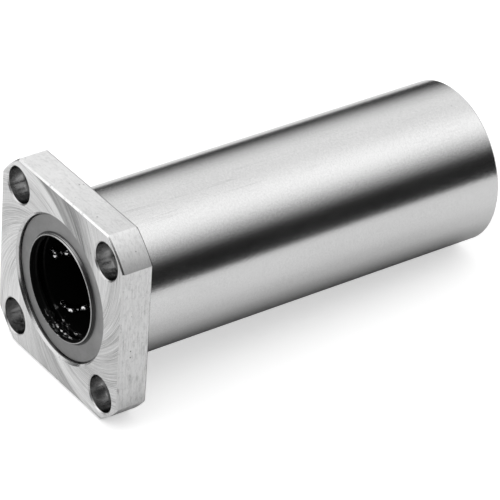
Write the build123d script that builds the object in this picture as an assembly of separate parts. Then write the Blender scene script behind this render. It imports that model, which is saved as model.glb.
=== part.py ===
from build123d import *
from math import atan2, cos, degrees, floor, hypot, pi, radians, sin, sqrt
import os

# Long linear ball bearing with a square flange, for a 25 mm shaft.
# The shaft runs along Y and Z is up. The seat face of the flange is at Y = 0: its front face looks
# towards -Y, and the cylinder reaches back towards +Y. Sizes are in millimetres. Angles round the
# shaft are in degrees from +X towards +Z.

# Outer cylinder and its flange
shaft_diameter = 25.0
body_diameter = 40.0
overall_length = 112.0
flange_width = 50.0
flange_corner_wall = 1.0
flange_thickness = 8.0
flange_chamfer = 0.4
body_end_chamfer = 0.6
undercut_width = 1.5
undercut_depth = 0.25
face_undercut_width = 0.8
face_undercut_depth = 0.2
mouth_chamfer = 0.5

# Screw holes of the flange
bolt_circle_diameter = 51.0
bolt_count = 4
first_bolt_angle = 45.0
bolt_hole_diameter = 5.5
bolt_hole_chamfer = 0.3
counterbore_diameter = 9.0
counterbore_depth = 5.1

# Balls and the closed circuits that they run in
ball_diameter = 3.175
ball_gap = 0.21
ball_play = 0.1
raceway_play = 0.07
raceway_ramp = 0.6
circuit_count = 6
first_loaded_angle = 5.5
turn_ball_count = 3

# Retainers, one in each half of the cylinder
retainer_shaft_gap = 0.35
retainer_play = 0.15
retainer_rim_play = 0.15
retainer_rim_length = 0.6
retainer_end_chamfer = 0.25
retainer_end_wall = 0.6
retainer_float = 0.05
retainer_gap = 0.1

# Seals, each a pressed steel plate with a rubber lip bonded behind it
seat_wall = 2.2
seal_recess = 1.1
seal_thickness = 1.6
seal_fit = 0.02
plate_thickness = 0.6
plate_rim_bevel = 0.35
plate_rim_bevel_length = 0.4
collar_shaft_gap = 0.1
collar_recess = 0.2
collar_tip_width = 0.42
collar_root_width = 0.68
collar_skin = 0.2
collar_flare = 0.18
lip_clearance = 0.02
lip_overhang = 0.25
lip_land = 0.3
lip_flare = 0.5

# Snap rings and their grooves
shoulder_height = 1.05
shoulder_thickness = 0.4
ring_groove_depth = 0.85
ring_thickness = 1.0
ring_side_play = 0.1
ring_radial_play = 0.05
ring_width = 2.2
ring_gap = 5.0
ring_gap_angle = -90.0
ring_eye_radius = 1.7
ring_eye_hole = 1.3

# The balls stand a pitch apart, and the half round turn of a circuit is as long as its balls need
ball_radius = ball_diameter / 2
ball_pitch = ball_diameter + ball_gap
turn_radius = turn_ball_count * ball_pitch / pi
channel_radius = ball_radius + ball_play

# Radii, from the shaft outwards. A circuit lies in a plane square to the radius of its loaded row, so
# its return row is further out and a ball leaves the shaft as soon as it turns.
shaft_radius = shaft_diameter / 2
loaded_radius = shaft_radius + ball_radius
return_radius = hypot(loaded_radius, 2 * turn_radius)
row_spread = degrees(atan2(2 * turn_radius, loaded_radius))
raceway_radius = loaded_radius + ball_radius + raceway_play
relief_radius = return_radius + channel_radius
retainer_inner_radius = shaft_radius + retainer_shaft_gap
retainer_outer_radius = raceway_radius - retainer_play
collar_radius = shaft_radius + collar_shaft_gap
lip_radius = shaft_radius + lip_clearance
body_radius = body_diameter / 2
seat_radius = body_radius - seat_wall
land_radius = seat_radius - shoulder_height
groove_radius = land_radius + ring_groove_depth
corner_radius = (bolt_circle_diameter + counterbore_diameter) / 2 + flange_corner_wall

# Places along the shaft, from the front face to the middle; the rear half mirrors the front one
front_y = -flange_thickness
rear_y = front_y + overall_length
middle_y = (front_y + rear_y) / 2
seal_front_y = front_y + seal_recess
plate_back_y = seal_front_y + plate_thickness
seal_back_y = seal_front_y + seal_thickness
ring_front_y = seal_back_y + shoulder_thickness
ring_back_y = ring_front_y + ring_thickness
groove_back_y = ring_back_y + ring_side_play
retainer_front_y = ring_back_y + retainer_float
retainer_back_y = middle_y - retainer_gap / 2
retainer_length = retainer_back_y - retainer_front_y

# A row takes as many balls as the room between the two turns allows
turn_reach = turn_radius + channel_radius
room_for_rows = retainer_length - 2 * (retainer_end_wall + turn_reach)
row_ball_count = floor(room_for_rows / ball_pitch)
row_length = row_ball_count * ball_pitch
front_unit_y = (retainer_front_y + retainer_back_y) / 2
rear_unit_y = 2 * middle_y - front_unit_y

middle_plane = Plane(origin=(0, middle_y, 0), z_dir=(0, 1, 0))


def round_shaft(radius, angle, y=0.0):
    """The point at a radius and angle round the shaft."""
    return Vector(radius * cos(radians(angle)), y, radius * sin(radians(angle)))


def turned(*corners):
    """A solid turned about the shaft's axis from the (radius, y) corners of its section."""
    return revolve(make_face(Polyline(*corners, close=True)), Axis.Y)


def rear(piece):
    """The same piece in the rear half of the bearing."""
    return mirror(piece, about=middle_plane)


def circuit_plane(number, unit_y):
    """The plane of a circuit: x from the loaded row to the return row, y along the shaft, z outwards."""
    angle = first_loaded_angle + number * 360 / circuit_count
    loaded = round_shaft(loaded_radius, angle, unit_y)
    returning = round_shaft(return_radius, angle - row_spread, unit_y)
    across = returning - loaded
    return Plane(origin=(loaded + returning) / 2, x_dir=across, z_dir=across.cross(Vector(0, 1, 0)))


def flange_plate():
    """Square plate whose corners are turned to a round, with both outlines chamfered."""
    outline = Rectangle(flange_width, flange_width) & Circle(corner_radius)
    plate = extrude(Plane.XZ * outline, amount=flange_thickness)
    return chamfer(plate.faces().filter_by(Axis.Y).edges(), flange_chamfer)


def screw_hole():
    """Drill and counterbore for one cap screw, on the shaft's axis."""
    hole = bolt_hole_diameter / 2
    head = counterbore_diameter / 2
    floor_y = front_y + counterbore_depth
    return turned(
        (0, front_y),
        (head + bolt_hole_chamfer, front_y),
        (head, front_y + bolt_hole_chamfer),
        (head, floor_y),
        (hole, floor_y),
        (hole, -bolt_hole_chamfer),
        (hole + bolt_hole_chamfer, 0),
        (0, 0),
    )


def corner_undercut():
    """Groove in the corner between the cylinder and the seat face, so that a housing seats flat."""
    inner = body_radius - undercut_depth
    outer = body_radius + face_undercut_width
    return turned(
        (inner, -face_undercut_depth),
        (outer - face_undercut_depth, -face_undercut_depth),
        (outer, 0),
        (outer, undercut_width + outer - inner),
        (inner, undercut_width),
    )


def bore_half():
    """The stepped bore from the front face to the middle: seal seat, snap ring groove, relief for the
    front turns, hardened raceway, relief for the middle turns."""
    row_front_y = front_unit_y - row_length / 2
    row_back_y = front_unit_y + row_length / 2
    return turned(
        (0, front_y),
        (seat_radius + mouth_chamfer, front_y),
        (seat_radius, front_y + mouth_chamfer),
        (seat_radius, seal_back_y),
        (land_radius, seal_back_y),
        (land_radius, ring_front_y),
        (groove_radius, ring_front_y),
        (groove_radius, groove_back_y),
        (relief_radius, groove_back_y),
        (relief_radius, row_front_y - raceway_ramp),
        (raceway_radius, row_front_y),
        (raceway_radius, row_back_y),
        (relief_radius, row_back_y + raceway_ramp),
        (relief_radius, middle_y),
        (0, middle_y),
    )


def return_grooves():
    """Round grooves between the raceways, where the balls of the return rows run free of the shaft."""
    groove = Rot(90, 0, 0) * Cylinder(channel_radius, row_length + 2 * raceway_ramp)
    return [
        Pos(round_shaft(return_radius, first_loaded_angle + number * 360 / circuit_count - row_spread, unit_y))
        * groove
        for unit_y in (front_unit_y, rear_unit_y)
        for number in range(circuit_count)
    ]


def flanged_outer_cylinder():
    """Hardened steel cylinder and flange in one piece, ground outside with an undercut at the flange."""
    body = turned(
        (0, front_y / 2),
        (body_radius, front_y / 2),
        (body_radius, rear_y - body_end_chamfer),
        (body_radius - body_end_chamfer, rear_y),
        (0, rear_y),
    )
    holes = [
        Pos(round_shaft(bolt_circle_diameter / 2, first_bolt_angle + number * 360 / bolt_count))
        * screw_hole()
        for number in range(bolt_count)
    ]
    bore = bore_half()
    solid = flange_plate() + body - corner_undercut()
    return solid - holes - [bore, rear(bore)] - return_grooves()


def channel():
    """What one circuit takes out of a retainer: a U shaped groove round a racetrack, open outwards."""
    walls = Rectangle(2 * channel_radius, 2 * channel_radius, align=(Align.CENTER, Align.MIN))
    section = Plane.XZ * (Circle(channel_radius) + walls)
    groove = Pos(turn_radius, row_length / 2, 0) * section
    straight = extrude(groove, amount=row_length)
    turn = revolve(groove, Axis((0, row_length / 2, 0), (0, 0, 1)), 180)
    half = straight + turn
    return half + Rot(0, 0, 180) * half


def ball_retainer():
    """Moulded resin cage of the front half. Its loaded rows break through to the shaft as narrow slots,
    and a rim at the outer end stands behind the snap ring."""
    rim_radius = land_radius - retainer_rim_play
    rim_back_y = retainer_front_y + retainer_rim_length
    cage = turned(
        (retainer_inner_radius + retainer_end_chamfer, retainer_front_y),
        (rim_radius, retainer_front_y),
        (rim_radius, rim_back_y),
        (retainer_outer_radius, rim_back_y),
        (retainer_outer_radius, retainer_back_y - retainer_end_chamfer),
        (retainer_outer_radius - retainer_end_chamfer, retainer_back_y),
        (retainer_inner_radius + retainer_end_chamfer, retainer_back_y),
        (retainer_inner_radius, retainer_back_y - retainer_end_chamfer),
        (retainer_inner_radius, retainer_front_y + retainer_end_chamfer),
    )
    cut = channel()
    return cage - [circuit_plane(number, front_unit_y) * cut for number in range(circuit_count)]


def seal_plate():
    """Pressed steel ring, tight in its seat. Its inner edge is drawn forward into a collar round the shaft."""
    rim_radius = seat_radius - seal_fit
    wall_radius = collar_radius + collar_skin
    tip_y = front_y + collar_recess
    return turned(
        (rim_radius, plate_back_y),
        (rim_radius, seal_front_y + plate_rim_bevel_length),
        (rim_radius - plate_rim_bevel, seal_front_y),
        (collar_radius + collar_root_width, seal_front_y),
        (collar_radius + collar_tip_width, tip_y),
        (wall_radius, tip_y),
        (wall_radius + collar_flare, plate_back_y),
    )


def seal_lip():
    """Rubber bonded to the seal plate: a skin inside the collar, and a ring behind with a lip for the shaft."""
    rim_radius = seat_radius - seal_fit
    wall_radius = collar_radius + collar_skin
    tip_y = front_y + collar_recess
    lip_front_y = plate_back_y + lip_overhang
    return turned(
        (rim_radius, seal_back_y),
        (rim_radius, plate_back_y),
        (wall_radius + collar_flare, plate_back_y),
        (wall_radius, tip_y),
        (collar_radius, tip_y),
        (collar_radius + collar_flare, plate_back_y),
        (lip_radius, lip_front_y),
        (lip_radius, lip_front_y + lip_land),
        (lip_radius + lip_flare, seal_back_y),
    )


def snap_ring():
    """Split spring ring with two plier eyes. It sits in its groove and holds the retainer in."""
    outer = groove_radius - ring_radial_play
    eye_x = ring_gap / 2 + ring_eye_radius
    eye_z = sqrt((outer - ring_eye_radius)**2 - eye_x**2)
    ring = Circle(outer) - Circle(outer - ring_width)
    ring -= Pos(0, outer) * Rectangle(ring_gap, 2 * ring_width + 2 * ring_eye_radius)
    for side in (-1, 1):
        ring += Pos(side * eye_x, eye_z) * Circle(ring_eye_radius)
    for side in (-1, 1):
        ring -= Pos(side * eye_x, eye_z) * Circle(ring_eye_hole / 2)
    section = Plane.XZ * Rot(0, 0, ring_gap_angle - 90) * ring
    return extrude(Pos(0, ring_back_y, 0) * section, amount=ring_thickness)


def balls(plane, centres):
    """Steel balls, each a solid of its own, with their centres at (x, y) of a circuit's plane."""
    return Compound([plane * Pos(x, y, 0) * Sphere(ball_radius) for x, y in centres])


def row_centres(x):
    """Ball centres of a straight row, half a pitch in from each end."""
    return [(x, (number + 0.5) * ball_pitch - row_length / 2) for number in range(row_ball_count)]


def turn_centres(end):
    """Ball centres of a half round turn, at the circuit's front end (-1) or rear end (1)."""
    angles = [radians((number + 0.5) * 180 / turn_ball_count) for number in range(turn_ball_count)]
    return [
        (turn_radius * cos(angle), end * (row_length / 2 + turn_radius * sin(angle)))
        for angle in angles
    ]


pieces = {
    "flanged_outer_cylinder": flanged_outer_cylinder(),
    "ball_retainer_front": ball_retainer(),
    "seal_plate_front": seal_plate(),
    "seal_lip_front": seal_lip(),
    "snap_ring_front": snap_ring(),
}
for name in ("ball_retainer", "seal_plate", "seal_lip", "snap_ring"):
    pieces[f"{name}_rear"] = rear(pieces[f"{name}_front"])

for unit, unit_y, outer_end in (("front", front_unit_y, -1), ("rear", rear_unit_y, 1)):
    groups = {
        "loaded": row_centres(-turn_radius),
        "return": row_centres(turn_radius),
        "end_turn": turn_centres(outer_end),
        "middle_turn": turn_centres(-outer_end),
    }
    for number in range(circuit_count):
        plane = circuit_plane(number, unit_y)
        for group, centres in groups.items():
            pieces[f"balls_{unit}_{number + 1}_{group}"] = balls(plane, centres)

os.makedirs("parts", exist_ok=True)
for name, piece in pieces.items():
    export_step(piece, f"parts/{name}.step")
print(f"{len(pieces)} nodes, {row_ball_count} balls in a row, turn radius {turn_radius:.3f}")
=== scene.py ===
from math import acos, atan2, cos, degrees, hypot, pi, radians, sin, sqrt, tan

import bmesh
import bpy
from mathutils import Matrix, Vector


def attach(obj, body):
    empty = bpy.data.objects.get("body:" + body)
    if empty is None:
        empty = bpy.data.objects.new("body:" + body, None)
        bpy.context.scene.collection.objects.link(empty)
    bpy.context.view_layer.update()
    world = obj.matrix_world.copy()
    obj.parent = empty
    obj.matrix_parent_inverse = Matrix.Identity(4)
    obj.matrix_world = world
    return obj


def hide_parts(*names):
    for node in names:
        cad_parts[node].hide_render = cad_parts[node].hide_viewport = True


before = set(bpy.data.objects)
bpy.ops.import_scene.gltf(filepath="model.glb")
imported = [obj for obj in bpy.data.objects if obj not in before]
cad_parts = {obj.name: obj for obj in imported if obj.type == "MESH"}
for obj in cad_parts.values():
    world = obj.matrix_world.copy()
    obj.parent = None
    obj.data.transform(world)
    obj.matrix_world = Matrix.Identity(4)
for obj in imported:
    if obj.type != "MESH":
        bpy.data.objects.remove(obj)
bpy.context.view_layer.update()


# ---------------------------------------------------------------------------------------------
# Flanged outer cylinder: one piece of hardened bearing steel. It is turned and bored, the flange
# is faced and milled square with four counterbored screw holes, and the cylinder is ground.
# ---------------------------------------------------------------------------------------------

# Sizes are in mm. Y runs along the shaft, from 0 at the flange's seat face.
mm = 0.001
front_y, rear_y, middle_y = -8.0, 104.0, 48.0
flange_half, corner_radius, flange_chamfer = 25.0, 31.0, 0.4
screw_circle_radius, first_screw_angle, screw_count = 25.5, 45, 4
screw_hole_radius, head_radius, head_depth, hole_chamfer = 2.75, 4.5, 5.1, 0.3
body_radius, rim_chamfer, undercut_depth, undercut_rear_y = 20.0, 0.6, 0.25, 1.5
root_groove_depth, root_groove_width = 0.2, 0.6
seat_radius, land_radius, snap_groove_radius = 17.8, 16.75, 17.6
mouth_chamfer, mouth_depth = 0.5, 0.68
land_front_y, snap_groove_front_y, snap_groove_rear_y = -5.3, -4.9, -3.8
relief_radius, raceway_radius, raceway_ramp = 17.1875, 15.745, 0.6
row_front_y, row_rear_y = 1.74, 42.36
return_radius, channel_radius, first_return_angle, return_rows = 15.5, 1.6875, -19.151, 6
around_body, around_hole, around_corner = 216, 72, 16
edge_round = 0.05

# Places of the finishes in the cylinder's list of materials
ground, side, front_face, hole_wall, seat_face, broken_edge, bore_wall = range(7)


def turned_wall(bm, section, steps, centre=(0, 0)):
    """Spins the (radius, y) corners of a section, in mm, round an axis along Y through (x, z)."""
    x, z = centre
    corners = [bm.verts.new(((x + radius) * mm, y * mm, z * mm)) for radius, y in section]
    lines = [bm.edges.new(pair) for pair in zip(corners, corners[1:])]
    before = set(bm.faces)
    bmesh.ops.spin(bm, geom=corners + lines, cent=(x * mm, 0, z * mm), axis=(0, 1, 0), angle=radians(360),
                   steps=steps, use_merge=True, use_duplicate=False)
    return [face for face in bm.faces if face not in before]


def round_edges(bm, edges, width, segments=2):
    """Takes the sharpness off edges, as handling and deburring do. Width in mm."""
    if edges:
        bmesh.ops.bevel(bm, geom=list(edges), offset=width * mm, offset_type="OFFSET", segments=segments,
                        profile=0.5, affect="EDGES", material=-1, clamp_overlap=True)


def ring_edges(faces, least_angle=15):
    """The edges inside a patch of faces where it turns by more than an angle."""
    inside = {edge for face in faces for edge in face.edges}
    return [edge for edge in inside
            if len(edge.link_faces) == 2 and degrees(edge.calc_face_angle(0)) > least_angle]


def open_edges(bm, y):
    """The open edges at one place along the shaft, in mm, laid exactly into their plane."""
    near = 0.003
    edges = [edge for edge in bm.edges
             if edge.is_boundary and all(abs(v.co.y / mm - y) < near for v in edge.verts)]
    for edge in edges:
        for v in edge.verts:
            v.co.y = y * mm
    return edges


def only(kind, elements):
    """The elements of one kind, such as the corners or the faces, among those that an operator gives."""
    return [element for element in elements if isinstance(element, kind)]


def finished_piece(name, bm, materials, sharp_angle=12):
    """Makes an object of a mesh, smooth except at edges sharper than an angle."""
    for face in bm.faces:
        face.smooth = True
    for edge in bm.edges:
        edge.smooth = edge.is_boundary or degrees(edge.calc_face_angle(0)) < sharp_angle
    mesh = bpy.data.meshes.new(name)
    bm.to_mesh(mesh)
    bm.free()
    for material in materials:
        mesh.materials.append(material)
    piece = bpy.data.objects.new(name, mesh)
    bpy.context.scene.collection.objects.link(piece)
    return piece


bm = bmesh.new()

# The flange's outline is four arcs of the turned corners, joined by its flats. It gets its thickness,
# its chamfers, and then the sharpness off every edge. No point is left standing past the flats.
corner_start = acos(flange_half / corner_radius)
arc_ends = []
for number in range(4):
    start = corner_start + radians(90) * number
    first = bm.verts.new((corner_radius * cos(start) * mm, front_y * mm, corner_radius * sin(start) * mm))
    arc = bmesh.ops.spin(bm, geom=[first], cent=(0, 0, 0), axis=(0, -1, 0),
                         angle=radians(90) - 2 * corner_start, steps=around_corner, use_duplicate=False)
    arc_ends += [first] + only(bmesh.types.BMVert, arc["geom_last"])
for number in range(4):
    bm.edges.new((arc_ends[2 * number + 1], arc_ends[(2 * number + 2) % 8]))
bmesh.ops.edgeloop_fill(bm, edges=bm.edges[:])
thickened = bmesh.ops.extrude_face_region(bm, geom=bm.faces[:])
bmesh.ops.translate(bm, vec=(0, -front_y * mm, 0), verts=only(bmesh.types.BMVert, thickened["geom"]))
bmesh.ops.recalc_face_normals(bm, faces=bm.faces[:])
outline = [edge for edge in bm.edges if abs(edge.verts[0].co.y - edge.verts[1].co.y) < 1e-9]
bmesh.ops.bevel(bm, geom=outline, offset=flange_chamfer * mm, offset_type="OFFSET", segments=1, profile=0.5,
                affect="EDGES", material=-1)
for face in bm.faces:
    slopes = 0.3 < abs(face.normal.y) < 0.9
    face.material_index = broken_edge if slopes else side
for v in bm.verts:
    v.co.x = min(max(v.co.x, -flange_half * mm), flange_half * mm)
    v.co.z = min(max(v.co.z, -flange_half * mm), flange_half * mm)
round_edges(bm, ring_edges(bm.faces), edge_round)

# The two big flat faces come out, and are filled in again round the bore and the holes further down
bmesh.ops.delete(bm, geom=[face for face in bm.faces if abs(face.normal.y) > 0.99 and len(face.edges) > 12],
                 context="FACES_ONLY")

# Four screw holes, each a drilled hole with a counterbore for the screw's head
screw_hole = [
    (head_radius + hole_chamfer, front_y),
    (head_radius, front_y + hole_chamfer),
    (head_radius, front_y + head_depth),
    (screw_hole_radius, front_y + head_depth),
    (screw_hole_radius, -hole_chamfer),
    (screw_hole_radius + hole_chamfer, 0),
]
for number in range(screw_count):
    angle = radians(first_screw_angle + number * 360 / screw_count)
    faces = turned_wall(bm, screw_hole, around_hole,
                        centre=(screw_circle_radius * cos(angle), screw_circle_radius * sin(angle)))
    for face in faces:
        in_mouth = face.calc_center_median().y < (front_y + hole_chamfer) * mm
        face.material_index = front_face if in_mouth else hole_wall
    round_edges(bm, ring_edges(faces), edge_round)

# The stepped bore and the ground outside, from the seal's seat round to the groove at the seat face.
# The rear half of the bore is the front half turned about.
half_bore = [
    (seat_radius + mouth_chamfer, front_y),
    (seat_radius, front_y + mouth_chamfer),
    (seat_radius, front_y + mouth_depth),
    (seat_radius, land_front_y),
    (land_radius, land_front_y),
    (land_radius, snap_groove_front_y),
    (snap_groove_radius, snap_groove_front_y),
    (snap_groove_radius, snap_groove_rear_y),
    (relief_radius, snap_groove_rear_y),
    (relief_radius, row_front_y - raceway_ramp),
    (raceway_radius, row_front_y),
    (raceway_radius, row_rear_y),
    (relief_radius, row_rear_y + raceway_ramp),
]
other_half = [(radius, 2 * middle_y - y) for radius, y in reversed(half_bore)]
outside = [
    (body_radius - rim_chamfer, rear_y),
    (body_radius, rear_y - rim_chamfer),
    (body_radius, undercut_rear_y + undercut_depth),
    (body_radius - undercut_depth, undercut_rear_y),
    (body_radius - undercut_depth, -root_groove_depth),
    (body_radius + root_groove_width, -root_groove_depth),
    (body_radius + root_groove_width + root_groove_depth, 0),
]
faces = turned_wall(bm, half_bore + other_half + outside, around_body)
near = 0.01
mouth_rear = rear_y - middle_y - mouth_depth
for face in faces:
    centre = face.calc_center_median() / mm
    radius, from_middle = hypot(centre.x, centre.z), abs(centre.y - middle_y)
    if radius > body_radius - 2 * near and centre.y > undercut_rear_y:
        face.material_index = ground
    elif seat_radius - near < radius < body_radius - rim_chamfer and from_middle > mouth_rear:
        face.material_index = broken_edge
    elif radius < seat_radius + near:
        face.material_index = bore_wall
    else:
        face.material_index = front_face

# Round grooves of the return rows between the raceways
row_angle = 360 / return_rows
for v in bm.verts:
    radius, y = hypot(v.co.x, v.co.z) / mm, v.co.y / mm
    y = min(y, 2 * middle_y - y)
    if abs(radius - raceway_radius) < near and row_front_y - near < y < row_rear_y + near:
        angle = degrees(atan2(v.co.z, v.co.x)) - first_return_angle
        off = radians((angle + row_angle / 2) % row_angle - row_angle / 2)
        reach = channel_radius**2 - (return_radius * sin(off))**2
        if reach > 0:
            deep = max(raceway_radius, return_radius * cos(off) + sqrt(reach)) / radius
            v.co.x, v.co.z = v.co.x * deep, v.co.z * deep


def in_sight(v):
    """Whether a corner of the wall lies in a seal's seat or outside, and not in the dark of the bore."""
    in_seat = abs(v.co.y / mm - middle_y) > middle_y - land_front_y - near
    return in_seat or v.co.xz.length / mm > body_radius - rim_chamfer - near


round_edges(bm, [edge for edge in ring_edges(faces) if all(in_sight(v) for v in edge.verts)], edge_round)

# The two flat faces of the flange are filled in between the outline, the bore and the holes
for y in (front_y, 0):
    patch = bmesh.ops.triangle_fill(bm, use_beauty=True, use_dissolve=False, edges=open_edges(bm, y))
    for face in only(bmesh.types.BMFace, patch["geom"]):
        face.material_index = front_face if y == front_y else seat_face
bmesh.ops.remove_doubles(bm, verts=bm.verts[:], dist=1e-7)
bmesh.ops.recalc_face_normals(bm, faces=bm.faces[:])


def finish_of(name, metallic=1.0):
    """A new material with one Principled shader, and where its pattern lies on the piece, in metres."""
    material = bpy.data.materials.new(name)
    material.use_nodes = True
    shader = material.node_tree.nodes["Principled BSDF"]
    shader.inputs["Metallic"].default_value = metallic
    place = material.node_tree.nodes.new("ShaderNodeTexCoord").outputs["Object"]
    return material, shader, place


def link(material, value, socket):
    """Joins the end of a pattern to a socket, mostly one of the shader's."""
    material.node_tree.links.new(value, socket)


def wired(material, kind, sockets=None, **options):
    """Adds a node, with options and with a value or a link on each socket named."""
    node = material.node_tree.nodes.new(kind)
    for option, value in options.items():
        setattr(node, option, value)
    for socket, value in (sockets or {}).items():
        if isinstance(value, bpy.types.NodeSocket):
            link(material, value, node.inputs[socket])
        else:
            node.inputs[socket].default_value = value
    return node


def worked_out(material, operation, *values):
    """The result of a sum, a root or another step on numbers and links."""
    return wired(material, "ShaderNodeMath", dict(enumerate(values)), operation=operation).outputs[0]


def product(material, *values):
    """Numbers and links multiplied together."""
    result = values[-1]
    for value in reversed(values[:-1]):
        result = worked_out(material, "MULTIPLY", value, result)
    return result


def xyz(material, place):
    """The three places of a pattern's point, along X, Y and Z."""
    return wired(material, "ShaderNodeSeparateXYZ", {0: place}).outputs


def from_axis(material, across, upward):
    """How far a point lies from an axis, by its places across and upward."""
    return worked_out(material, "SQRT", worked_out(
        material, "ADD", product(material, across, across), product(material, upward, upward)))


def grain(material, place, stretch, detail=4.0, roughness=0.55, distortion=0.0):
    """Noise from 0 to 1 whose scale along x, y and z is given in features a metre."""
    scaled = wired(material, "ShaderNodeVectorMath", {0: place, 1: stretch}, operation="MULTIPLY").outputs[0]
    return wired(material, "ShaderNodeTexNoise",
                 {"Vector": scaled, "Scale": 1.0, "Detail": detail, "Roughness": roughness,
                  "Distortion": distortion}).outputs["Fac"]


def spread(material, value, low, high, new_low, new_high):
    """Spreads a pattern from one range to another and cuts it off there."""
    return wired(material, "ShaderNodeMapRange",
                 {"Value": value, "From Min": low, "From Max": high, "To Min": new_low, "To Max": new_high},
                 clamp=True).outputs[0]


def varied(material, pattern, new_low, new_high):
    """Spreads a grain, most of which lies between 0.3 and 0.7, over a range of its own."""
    return spread(material, pattern, 0.3, 0.7, new_low, new_high)


def dark_pits(material, place, a_metre, sizes, patches_a_metre, patches, darkness=1.0):
    """Small round pits in patches: how many a metre, and the ranges in which pits and patches fade out."""
    nearest = wired(material, "ShaderNodeTexVoronoi", {"Vector": place, "Scale": a_metre, "Randomness": 1.0},
                    feature="F1").outputs["Distance"]
    gathered = grain(material, place, (patches_a_metre,) * 3, detail=2)
    return product(material, spread(material, nearest, *sizes, darkness, 0),
                   spread(material, gathered, *patches, 0, 1))


def tint(material, amount, first, second):
    """A colour between two, by an amount from 0 to 1. Each is a link, or a red, green and blue."""
    first, second = (colour if isinstance(colour, bpy.types.NodeSocket) else (*colour, 1)
                     for colour in (first, second))
    return wired(material, "ShaderNodeMix", {"Factor": amount, "A": first, "B": second},
                 data_type="RGBA").outputs["Result"]


def relief(material, shader, height, strength, depth):
    """Bump from a pattern, with its depth in metres."""
    bump = wired(material, "ShaderNodeBump", {"Height": height, "Strength": strength, "Distance": depth})
    link(material, bump.outputs["Normal"], shader.inputs["Normal"])


# Ground steel: satin, with a very fine grain, faint lengthwise scratches and a few dark specks. The marks
# are strongest near the flange, on the upper side.
ground_steel, shader, place = finish_of("ground_bearing_steel")
x, y, z = xyz(ground_steel, place)
fine = grain(ground_steel, place, (1900, 2300, 1900), detail=2, roughness=0.8)
cloud = grain(ground_steel, place, (60, 22, 60), detail=5)
drawn = grain(ground_steel, place, (430, 7, 430), detail=5, distortion=0.3)
hairs = spread(ground_steel, worked_out(ground_steel, "ABSOLUTE", worked_out(
    ground_steel, "SUBTRACT", drawn, 0.5)), 0.003, 0.013, 1, 0)
hair_places = grain(ground_steel, place, (110, 35, 110), detail=5)
scratched = product(ground_steel, hairs, spread(ground_steel, hair_places, 0.45, 0.68, 0, 0.42))
pitted = dark_pits(ground_steel, place, 330.0, (0.04, 0.09), 140, (0.56, 0.62))
near_flange = product(ground_steel, spread(ground_steel, y, 30 * mm, 70 * mm, 1.0, 0.35),
                      spread(ground_steel, z, 12 * mm, 18 * mm, 0.15, 1.0))
marks = product(ground_steel, near_flange, worked_out(ground_steel, "MAXIMUM", scratched, pitted))
shine = worked_out(ground_steel, "ADD", varied(ground_steel, cloud, 0.165, 0.205),
                   varied(ground_steel, fine, -0.02, 0.02))
link(ground_steel, worked_out(ground_steel, "ADD", shine, product(ground_steel, marks, 0.12)),
     shader.inputs["Roughness"])
even = worked_out(ground_steel, "ADD", varied(ground_steel, cloud, 0.84, 0.97),
                  varied(ground_steel, fine, -0.12, 0.12))
link(ground_steel, tint(ground_steel, worked_out(ground_steel, "SUBTRACT", even, marks),
                        (0.34, 0.34, 0.34), (0.72, 0.72, 0.72)), shader.inputs["Base Color"])
relief(ground_steel, shader, worked_out(ground_steel, "SUBTRACT", fine, marks), 0.8, 0.014 * mm)

# Milled sides of the flange: bright, with fine cutter lines along each side, small dark pits, and painted
# shade along the top's rear edge, over the right side and over the lower part. The lines are weaker at the
# turned corners and towards the top.
milled_steel, shader, place = finish_of("milled_flange_side_steel")
x, y, z = xyz(milled_steel, place)
reach = from_axis(milled_steel, x, z)
along_side = wired(milled_steel, "ShaderNodeCombineXYZ",
                   {"X": worked_out(milled_steel, "DIVIDE", x, reach), "Y": y,
                    "Z": worked_out(milled_steel, "DIVIDE", z, reach)}).outputs[0]
lines = grain(milled_steel, along_side, (5.0, 2600, 5.0), detail=3, roughness=0.65)
scratches = grain(milled_steel, place, (900, 1500, 900), detail=3, roughness=0.7, distortion=0.6)
cloud = grain(milled_steel, place, (230, 230, 230), detail=4)
pitted = dark_pits(milled_steel, place, 560.0, (0.04, 0.15), 190, (0.54, 0.60), darkness=0.9)
worn = product(milled_steel, spread(milled_steel, lines, 0.48, 0.72, 0, 0.27),
               spread(milled_steel, cloud, 0.40, 0.60, 0.3, 1),
               spread(milled_steel, reach, 30.0 * mm, 30.9 * mm, 1, 0.35),
               spread(milled_steel, z, 10 * mm, 24 * mm, 1, 0.5))
worn = worked_out(milled_steel, "ADD", worn, spread(milled_steel, scratches, 0.46, 0.70, 0, 0.14))
# Painted shade: a dark line along the top's rear edge
painted_shade_top_rear_edge = product(milled_steel, spread(milled_steel, y, -0.70 * mm, -0.45 * mm, 0, 0.55),
                    spread(milled_steel, z, 24.6 * mm, 24.8 * mm, 0, 1))
marks = worked_out(milled_steel, "MAXIMUM", worked_out(milled_steel, "MAXIMUM", worn, pitted), painted_shade_top_rear_edge)
# Random tone, with painted shade: darker towards the right side and over the lower part
tone_and_painted_shade = product(milled_steel, varied(milled_steel, cloud, 0.95, 1),
                spread(milled_steel, x, -8 * mm, 24 * mm, 0.97, 0.80),
                spread(milled_steel, x, 24.6 * mm, 24.9 * mm, 1, 0.95),
                spread(milled_steel, z, -23 * mm, -14 * mm, 0.50, 1))
link(milled_steel, tint(milled_steel, worked_out(milled_steel, "SUBTRACT", tone_and_painted_shade, marks),
                        (0.05, 0.05, 0.05), (1.0, 1.0, 1.0)), shader.inputs["Base Color"])
link(milled_steel, worked_out(milled_steel, "ADD", varied(milled_steel, cloud, 0.36, 0.44),
                              varied(milled_steel, scratches, -0.05, 0.05)), shader.inputs["Roughness"])
relief(milled_steel, shader, worked_out(milled_steel, "SUBTRACT", worked_out(
    milled_steel, "ADD", lines, scratches), marks), 0.22, 0.02 * mm)

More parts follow.
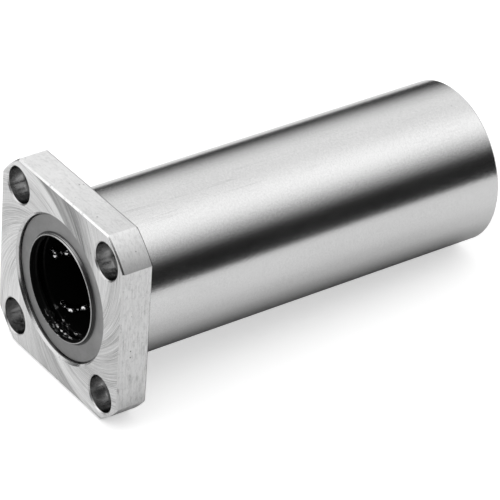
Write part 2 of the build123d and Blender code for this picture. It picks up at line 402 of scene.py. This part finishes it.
# Faced front: the face cutter leaves fine lines that sweep outwards and round from the bore. The back of
# the flange, the undercut, the far rim and the mouths of the screw holes are finished alike.
faced_steel, shader, place = finish_of("faced_flange_steel")
x, y, z = xyz(faced_steel, place)
distance = from_axis(faced_steel, x, z)
sweep_rate, natural_base = 1.35, 2.71828
sweep = product(faced_steel, worked_out(
    faced_steel, "LOGARITHM", product(faced_steel, distance, 50.0), natural_base), sweep_rate)
turn = worked_out(faced_steel, "SUBTRACT", worked_out(faced_steel, "ARCTAN2", z, x), sweep)
fan = wired(faced_steel, "ShaderNodeCombineXYZ",
            {"X": worked_out(faced_steel, "COSINE", turn), "Y": worked_out(faced_steel, "SINE", turn),
             "Z": distance}).outputs[0]
lines = grain(faced_steel, fan, (75, 75, 90), detail=4, roughness=0.75)
threads = grain(faced_steel, fan, (200, 200, 160), detail=3, roughness=0.7)
broad = grain(faced_steel, fan, (3.2, 3.2, 14), detail=5, roughness=0.65)
cloud = grain(faced_steel, place, (210, 210, 210), detail=4)
pitted = dark_pits(faced_steel, place, 420.0, (0.05, 0.12), 170, (0.61, 0.65))


def sector(start, rise, fall, end, level):
    """A level over one sector of the swept pattern, in degrees, with its own rise and fall."""
    return product(faced_steel, spread(faced_steel, turn, radians(start), radians(rise), 0, level),
                   spread(faced_steel, turn, radians(fall), radians(end), 1, 0))


# Painted reflections: where the cutter's lines turn along the light, sectors of the face are painted dark on
# one side and bright on the other
painted_dark_sectors = worked_out(faced_steel, "ADD", sector(45, 68, 90, 93, 0.30),
                          sector(-128, -100, -90, -87, 0.14))
painted_bright_sectors = worked_out(faced_steel, "ADD", sector(91, 94, 98, 125, 0.16),
                            sector(-89, -86, -82, -55, 0.16))
streaks = product(faced_steel, spread(faced_steel, lines, 0.45, 0.70, 0, 0.6), worked_out(
    faced_steel, "ADD", spread(faced_steel, broad, 0.42, 0.60, 0.25, 0.8), painted_dark_sectors))
streaks = worked_out(faced_steel, "ADD", streaks, spread(faced_steel, threads, 0.42, 0.72, 0, 0.46))
marks = worked_out(faced_steel, "MAXIMUM", streaks, pitted)
level = worked_out(faced_steel, "ADD", worked_out(faced_steel, "SUBTRACT", spread(
    faced_steel, broad, 0.40, 0.62, 0.87, 0.79), painted_dark_sectors), painted_bright_sectors)
link(faced_steel, tint(faced_steel, worked_out(faced_steel, "SUBTRACT", level, marks),
                       (0.10, 0.10, 0.10), (0.92, 0.92, 0.92)), shader.inputs["Base Color"])
link(faced_steel, worked_out(faced_steel, "ADD", varied(faced_steel, cloud, 0.28, 0.36),
                             varied(faced_steel, lines, -0.05, 0.05)), shader.inputs["Roughness"])
relief(faced_steel, shader, worked_out(faced_steel, "SUBTRACT", worked_out(
    faced_steel, "ADD", lines, threads), marks), 0.40, 0.03 * mm)

# Bored holes: darker, with tool rings round the wall
bored_steel, shader, place = finish_of("bored_steel")
rings = grain(bored_steel, place, (90, 2400, 90), detail=3)
cloud = grain(bored_steel, place, (420, 420, 420), detail=4)
link(bored_steel, tint(bored_steel, varied(bored_steel, cloud, 0, 1), (0.36, 0.36, 0.36), (0.56, 0.56, 0.56)),
     shader.inputs["Base Color"])
link(bored_steel, varied(bored_steel, rings, 0.11, 0.20), shader.inputs["Roughness"])
relief(bored_steel, shader, rings, 0.12, 0.03 * mm)

# The bore and the seats of the seals: finely turned, under a dark film of oil
oiled_steel, shader, place = finish_of("oiled_bore_steel")
film = grain(oiled_steel, place, (300, 900, 300), detail=4)
link(oiled_steel, tint(oiled_steel, varied(oiled_steel, film, 0, 1), (0.10, 0.10, 0.10), (0.30, 0.30, 0.30)),
     shader.inputs["Base Color"])
link(oiled_steel, varied(oiled_steel, film, 0.22, 0.32), shader.inputs["Roughness"])
relief(oiled_steel, shader, film, 0.3, 0.02 * mm)

# Broken edges, filed smooth and bright: the flange's chamfers, and the mouths of the seats with the far
# end's face. The upper rear edges and the right edges are painted darker as shade, and the mouths are darker.
edge_steel, shader, place = finish_of("filed_edge_steel")
x, y, z = xyz(edge_steel, place)
nicks = grain(edge_steel, place, (500, 500, 500), detail=4, roughness=0.7)
# Painted shade on the upper rear edges
painted_shade_upper_rear = product(edge_steel, spread(edge_steel, y, -1.0 * mm, -0.5 * mm, 0, 1.0),
               spread(edge_steel, z, 12 * mm, 16 * mm, 0, 1))
# Painted shade on the right edges
painted_shade_right_edges = product(edge_steel, spread(edge_steel, x, 24.2 * mm, 24.4 * mm, 0, 0.26), spread(
    edge_steel, worked_out(edge_steel, "ABSOLUTE", z), 18.1 * mm, 18.5 * mm, 1, 0))
mouth = spread(edge_steel, from_axis(edge_steel, x, z), 18.4 * mm, 18.6 * mm, 0.30, 0)
painted_shade_and_dark_mouths = worked_out(edge_steel, "ADD", painted_shade_right_edges, mouth)
filed = worked_out(edge_steel, "SUBTRACT", worked_out(edge_steel, "SUBTRACT", spread(
    edge_steel, nicks, 0.32, 0.46, 0.72, 1), painted_shade_upper_rear), painted_shade_and_dark_mouths)
link(edge_steel, tint(edge_steel, filed, (0.02, 0.02, 0.02), (0.84, 0.84, 0.84)), shader.inputs["Base Color"])
link(edge_steel, varied(edge_steel, nicks, 0.24, 0.16), shader.inputs["Roughness"])
relief(edge_steel, shader, nicks, 0.4, 0.02 * mm)

flanged_cylinder = finished_piece("bearing_flanged_cylinder", bm,
                                  [ground_steel, milled_steel, faced_steel, bored_steel, faced_steel,
                                   edge_steel, oiled_steel],
                                  sharp_angle=8)
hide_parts("flanged_outer_cylinder")
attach(flanged_cylinder, "housing")


# ---------------------------------------------------------------------------------------------
# End seals: a pressed steel plate, tight in its seat, whose inner edge is drawn forward into a
# collar round the shaft, and black rubber bonded to it, as a skin inside the collar and a ring
# behind the plate with the lip that wipes.
# ---------------------------------------------------------------------------------------------

# Radius and y in mm: the rim with its rolled edge, the flat, the fillet up the collar, a shallow groove
# round the collar, its rounded tip, and back along the rubber
plate_section = [
    (17.78, -6.30), (17.78, -6.52), (17.73, -6.67), (17.61, -6.82), (17.42, -6.90), (17.34, -6.90),
    (13.60, -6.90), (13.52, -6.90), (13.42, -6.91), (13.33, -6.95), (13.27, -7.02), (13.24, -7.12),
    (13.17, -7.32), (13.13, -7.35), (13.12, -7.40),
    (13.04, -7.62), (13.00, -7.71), (12.94, -7.77), (12.86, -7.80), (12.80, -7.80),
    (12.98, -6.30), (17.78, -6.30),
]
# The ring behind the plate, the skin inside the collar, and the lip round the shaft
lip_section = [
    (17.78, -5.30), (17.78, -6.30), (12.98, -6.30),
    (12.80, -7.80), (12.70, -7.79), (12.63, -7.75), (12.60, -7.66), (12.77, -6.34), (12.73, -6.26),
    (12.55, -6.09), (12.52, -6.03), (12.52, -5.80), (12.55, -5.73), (12.97, -5.34), (13.03, -5.30),
    (17.78, -5.30),
]
around_seal = 240


def from_middle_of(material, y):
    """How far a point lies from the bearing's middle along the shaft, so that both ends look alike."""
    return worked_out(material, "ABSOLUTE", worked_out(material, "SUBTRACT", y, middle_y * mm))


# Satin steel, painted lighter towards the upper right as light. The collar is turned and greased: its rings
# show where it is painted light, at the upper left, and on the tip; elsewhere it is painted dark as shade and
# not metallic, and its root is painted darker as shade.
plate_steel, shader, place = finish_of("satin_plate_steel")
x, y, z = xyz(plate_steel, place)
distance = from_axis(plate_steel, x, z)
outward = from_middle_of(plate_steel, y)
on_collar = spread(plate_steel, outward, 54.95 * mm, 55.05 * mm, 0, 1)
on_tip = spread(plate_steel, outward, 55.66 * mm, 55.72 * mm, 0, 1)
speckle = grain(plate_steel, place, (1500, 1500, 1500), detail=4)
cloud = grain(plate_steel, place, (150, 150, 150), detail=4)
rings = grain(plate_steel, wired(plate_steel, "ShaderNodeCombineXYZ",
                                 {"X": distance, "Y": outward, "Z": 0.0}).outputs[0],
              (6000, 6000, 1), detail=2)
# Painted light: the flat is lighter towards the upper right
upper_right = worked_out(plate_steel, "ADD", product(plate_steel, x, 0.72), product(plate_steel, z, 0.69))
flat_grey = product(plate_steel, varied(plate_steel, cloud, 0.23, 0.28),
                    spread(plate_steel, upper_right, 0, 16 * mm, 1.0, 1.28))
# Painted light and shade on the collar: light at the upper left, darker on the left and low down
upper_left = worked_out(plate_steel, "ADD", product(plate_steel, z, 72.0), product(plate_steel, x, -45.0))
painted_light_upper_left = spread(plate_steel, upper_left, 0.40, 0.75, 0.07, 0.60)
ringed = product(plate_steel, painted_light_upper_left, spread(plate_steel, rings, 0.40, 0.60, 0.45, 1.15))
collar_painted_light = worked_out(plate_steel, "MAXIMUM", ringed, product(plate_steel, on_tip, 0.55))
painted_shade_low_side = product(plate_steel, spread(plate_steel, x, 0.5 * mm, 3.5 * mm, 0.85, 0),
                      spread(plate_steel, z, 2 * mm, 6 * mm, 1, 0), spread(plate_steel, on_tip, 0, 1, 1, 0))
collar_painted_light = product(plate_steel, collar_painted_light, worked_out(
    plate_steel, "SUBTRACT", spread(plate_steel, x, -8 * mm, -3 * mm, 0.74, 1), painted_shade_low_side))
# Painted shade in the collar's root
painted_root_shade = product(plate_steel, spread(plate_steel, distance, 13.24 * mm, 13.30 * mm, 0, 1),
               spread(plate_steel, distance, 13.48 * mm, 13.62 * mm, 1, 0))
grey = wired(plate_steel, "ShaderNodeMix", {"Factor": on_collar, "A": flat_grey, "B": collar_painted_light},
             data_type="FLOAT").outputs[0]
grey = product(plate_steel, grey, worked_out(plate_steel, "SUBTRACT", 1.0, product(plate_steel, painted_root_shade, 0.75)))
link(plate_steel, tint(plate_steel, grey, (0, 0, 0), (1, 1, 1)), shader.inputs["Base Color"])
# The collar is not metallic where it is painted as in shade
collar_painted_unlit = product(plate_steel, on_collar, spread(plate_steel, upper_left, -0.1, 0.3, 1, 0))
link(plate_steel, worked_out(plate_steel, "SUBTRACT", 1.0, collar_painted_unlit), shader.inputs["Metallic"])
shader.inputs["Specular IOR Level"].default_value = 0.25
link(plate_steel, worked_out(plate_steel, "SUBTRACT", varied(plate_steel, speckle, 0.46, 0.56),
                             product(plate_steel, on_collar, 0.30)), shader.inputs["Roughness"])
relief(plate_steel, shader, worked_out(plate_steel, "ADD", product(plate_steel, speckle, 0.2),
                                       product(plate_steel, rings, on_collar)), 0.3, 0.02 * mm)


def greasy_black(name, lightness, film_stretch):
    """Black rubber or resin under a thin film of grease, with metallic flecks put only low on the left as
    painted glints.
    """
    material, shader, place = finish_of(name, metallic=0.0)
    shader.inputs["Specular IOR Level"].default_value = 0.06
    x, y, z = xyz(material, place)
    film = grain(material, place, film_stretch, detail=3)
    lumps = grain(material, place, (800, 2000, 1100), detail=3)
    low = worked_out(material, "DIVIDE", worked_out(
        material, "ADD", product(material, x, -0.14), product(material, z, -0.99)), from_axis(material, x, z))
    # Painted glints: flecks of grease that catch the light, metallic and put only low on the left
    glint_flecks = product(material, spread(material, lumps, 0.57, 0.64, 0, 1),
                     spread(material, film, 0.43, 0.52, 0, 1), spread(material, low, 0.86, 0.94, 0, 1),
                     spread(material, from_middle_of(material, y), 50.6 * mm, 51.2 * mm, 0, 1))
    link(material, glint_flecks, shader.inputs["Metallic"])
    link(material, tint(material, glint_flecks, (lightness,) * 3, (0.6, 0.6, 0.6)), shader.inputs["Base Color"])
    link(material, spread(material, film, 0.42, 0.62, 0.52, 0.32), shader.inputs["Roughness"])
    relief(material, shader, worked_out(material, "MULTIPLY_ADD", film, 0.25, lumps), 0.55, 0.08 * mm)
    return material


lip_rubber = greasy_black("black_lip_rubber", 0.005, (420, 420, 420))

for end in ("front", "rear"):
    for kind, section, finish in (("plate", plate_section, plate_steel), ("lip", lip_section, lip_rubber)):
        bm = bmesh.new()
        turned_wall(bm, section, around_seal)
        if end == "rear":
            bmesh.ops.scale(bm, vec=(1, -1, 1), verts=bm.verts[:])
            bmesh.ops.translate(bm, vec=(0, 2 * middle_y * mm, 0), verts=bm.verts[:])
        bmesh.ops.remove_doubles(bm, verts=bm.verts[:], dist=1e-7)
        bmesh.ops.recalc_face_normals(bm, faces=bm.faces[:])
        piece = finished_piece(f"bearing_seal_{kind}_{end}", bm, [finish], sharp_angle=40)
        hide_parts(f"seal_{kind}_{end}")
        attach(piece, "housing")


# ---------------------------------------------------------------------------------------------
# Inside: two moulded cages of black resin, the spring rings that hold them, and the balls. All
# are as the frame has them, with their own finishes under a film of grease.
# ---------------------------------------------------------------------------------------------

cage_resin = greasy_black("black_cage_resin", 0.003, (380, 160, 380))

# Spring steel painted nearly black, as shade inside the bore
spring_steel, shader, place = finish_of("nearly_black_spring_steel")
flats = grain(spring_steel, place, (900, 900, 900), detail=4)
link(spring_steel, tint(spring_steel, varied(spring_steel, flats, 0, 1),
                        (0.02, 0.02, 0.02), (0.08, 0.08, 0.08)), shader.inputs["Base Color"])
link(spring_steel, varied(spring_steel, flats, 0.25, 0.5), shader.inputs["Roughness"])
relief(spring_steel, shader, flats, 0.4, 0.06 * mm)

ball_steel, shader, place = finish_of("polished_ball_steel")
film = grain(ball_steel, place, (1100, 1100, 1100), detail=3)
link(ball_steel, tint(ball_steel, spread(ball_steel, film, 0.35, 0.65, 0, 1),
                      (0.62, 0.62, 0.63), (0.74, 0.74, 0.75)), shader.inputs["Base Color"])
link(ball_steel, spread(ball_steel, film, 0.35, 0.65, 0.06, 0.13), shader.inputs["Roughness"])

for name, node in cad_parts.items():
    for kind, finish in (("ball_retainer", cage_resin), ("snap_ring", spring_steel), ("balls", ball_steel)):
        if name.startswith(kind):
            node.data.materials.clear()
            node.data.materials.append(finish)


# ---------------------------------------------------------------------------------------------
# Where it lies: on a plain pale floor under one broad soft light, resting on the flange's lower
# edge and the cylinder's far rim, and seen from the front right.
# ---------------------------------------------------------------------------------------------

# The part lies tipped on a level floor. Its axis stays on Y here, so the floor tips instead, and turns
# level a little beyond it. In metres.
floor_size, level_from = 6.0, 0.15
tip = atan2(flange_half - body_radius, rear_y - rim_chamfer)
bm = bmesh.new()
bmesh.ops.create_grid(bm, x_segments=1, y_segments=1, size=floor_size)
bmesh.ops.rotate(bm, verts=bm.verts[:], cent=(0, 0, 0), matrix=Matrix.Rotation(tip, 3, "X"))
bmesh.ops.translate(bm, verts=bm.verts[:], vec=(0, 0, -flange_half * mm))
bmesh.ops.bisect_plane(bm, geom=bm.verts[:] + bm.edges[:] + bm.faces[:], plane_co=(0, level_from, 0),
                       plane_no=(0, 1, 0))
for v in bm.verts:
    if v.co.y > level_from:
        v.co.z = level_from * tan(tip) - flange_half * mm

# Pale paint. In the steel's reflections it is painted dark far to the sides, with a painted shadow close to
# the part, and a painted glow, as of light on a table, a little further out and before the flange.
floor_paint, shader, place = finish_of("pale_floor", metallic=0.0)
shader.inputs["Specular IOR Level"].default_value = 0.0
shader.inputs["Roughness"].default_value = 1.0
shader.inputs["Emission Color"].default_value = (1, 1, 1, 1)
x, y, z = xyz(floor_paint, place)
beyond = worked_out(floor_paint, "SUBTRACT", y, spread(floor_paint, y, -4 * mm, 100 * mm, -4 * mm, 100 * mm))
distance = from_axis(floor_paint, x, beyond)
rays = wired(floor_paint, "ShaderNodeLightPath")
mirrored = rays.outputs["Is Glossy Ray"]
aside = worked_out(floor_paint, "ABSOLUTE", worked_out(floor_paint, "SUBTRACT", x, 80 * mm))
# Painted shadow close to the part, seen in reflections
painted_shadow_near_part = product(floor_paint, spread(floor_paint, distance, 9 * mm, 25 * mm, 0.50, 0),
                spread(floor_paint, y, -10 * mm, -4 * mm, 0, 1))
painted_dark_in_reflections = worked_out(floor_paint, "MAXIMUM", spread(floor_paint, aside, 270 * mm, 430 * mm, 0, 0.97), painted_shadow_near_part)
mottle = grain(floor_paint, place, (3, 3, 3), detail=2)
paint = tint(floor_paint, mottle, (0.79, 0.79, 0.79), (0.81, 0.81, 0.81))
link(floor_paint, tint(floor_paint, product(floor_paint, mirrored, painted_dark_in_reflections), paint, (0.02, 0.02, 0.02)),
     shader.inputs["Base Color"])
in_front = product(floor_paint, spread(floor_paint, y, -10 * mm, -4 * mm, 0.34, 0),
                   spread(floor_paint, y, -50 * mm, -12 * mm, 0.45, 1),
                   spread(floor_paint, x, 10 * mm, 30 * mm, 1, 0))
# Painted glow, seen in reflections
glow = product(floor_paint, mirrored, worked_out(
    floor_paint, "MAXIMUM", spread(floor_paint, distance, 16 * mm, 42 * mm, 0, 0.16), in_front),
               spread(floor_paint, aside, 270 * mm, 430 * mm, 1, 0))
seen_white = product(floor_paint, rays.outputs["Is Camera Ray"], 0.55)
link(floor_paint, worked_out(floor_paint, "ADD", glow, seen_white), shader.inputs["Emission Strength"])
floor = finished_piece("studio_floor", bm, [floor_paint], sharp_angle=1)

# The light is a broad soft canopy along the part that widens towards the front, between dark walls. Each
# step is an angle round the shaft's direction, in degrees from the right over the top, and a level.
light_steps = [(0, 0.012), (24, 0.012), (30, 0.05), (40, 0.38), (48, 0.67), (56, 0.98), (64, 1.17),
               (72, 1.28), (80, 1.28), (88, 1.20), (96, 1.10), (104, 1.02), (112, 0.99), (128, 1.03),
               (136, 0.97), (144, 0.84), (152, 0.67), (160, 0.42), (168, 0.17), (174, 0.05), (180, 0.012)]
world = bpy.data.worlds.new("studio_light")
bpy.context.scene.world = world
world.use_nodes = True
x, y, z = xyz(world, wired(world, "ShaderNodeTexCoord").outputs["Generated"])
middle = radians(70)
from_middle = worked_out(world, "SUBTRACT", worked_out(world, "ARCTAN2", z, x), middle)
around = worked_out(world, "MULTIPLY_ADD", from_middle, spread(world, y, 0.43, 0.59, 0.94, 1.06), middle)
canopy = wired(world, "ShaderNodeValToRGB", {"Fac": spread(world, around, 0, pi, 0, 1)})
while len(canopy.color_ramp.elements) < len(light_steps):
    canopy.color_ramp.elements.new(0.5)
for element, (angle, level) in zip(canopy.color_ramp.elements, light_steps):
    element.position = angle / 180
    element.color = (level, level, level, 1)

# A pale panel stands ahead on the left, and a dark one ahead on the right. The camera sees plain white.
pale_panel = product(world, spread(world, y, -0.42, -0.54, 0, 1),
                     spread(world, around, radians(90), radians(110), 0, 1))
dark_panel = product(world, spread(world, y, -0.60, -0.74, 0, 1),
                     spread(world, around, radians(66), radians(92), 0.95, 0))
lit = tint(world, pale_panel, canopy.outputs["Color"], (1.3, 1.3, 1.3))
lit = tint(world, dark_panel, lit, (0.02, 0.02, 0.02))
seen = tint(world, wired(world, "ShaderNodeLightPath").outputs["Is Camera Ray"], lit, (1, 1, 1))
link(world, seen, world.node_tree.nodes["Background"].inputs["Color"])

# The camera stands where the photograph was taken from. Its aim and distance are in mm.
azimuth, elevation, roll = radians(52.3737), radians(33.3533), radians(4.2059)
aim, distance = Vector((-5.5981, 50.0, -11.7188)), 856.785
focal_pixels, photo_width, sensor_width = 3606.05, 500, 36.0
back = Vector((sin(azimuth) * cos(elevation), -cos(azimuth) * cos(elevation), sin(elevation)))
right = Vector((cos(azimuth), sin(azimuth), 0))
up = back.cross(right)
camera_x = cos(roll) * right + sin(roll) * up
camera_y = cos(roll) * up - sin(roll) * right
camera_data = bpy.data.cameras.new("photo_camera")
camera_data.sensor_width = sensor_width
camera_data.lens = focal_pixels / photo_width * sensor_width
camera_data.clip_start, camera_data.clip_end = 0.01, 30.0
camera = bpy.data.objects.new("photo_camera", camera_data)
bpy.context.scene.collection.objects.link(camera)
camera.matrix_world = (Matrix.Translation(aim * mm + back * distance * mm)
                       @ Matrix((camera_x, camera_y, back)).transposed().to_4x4())
bpy.context.scene.camera = camera
bpy.context.scene.view_settings.view_transform = "Standard"
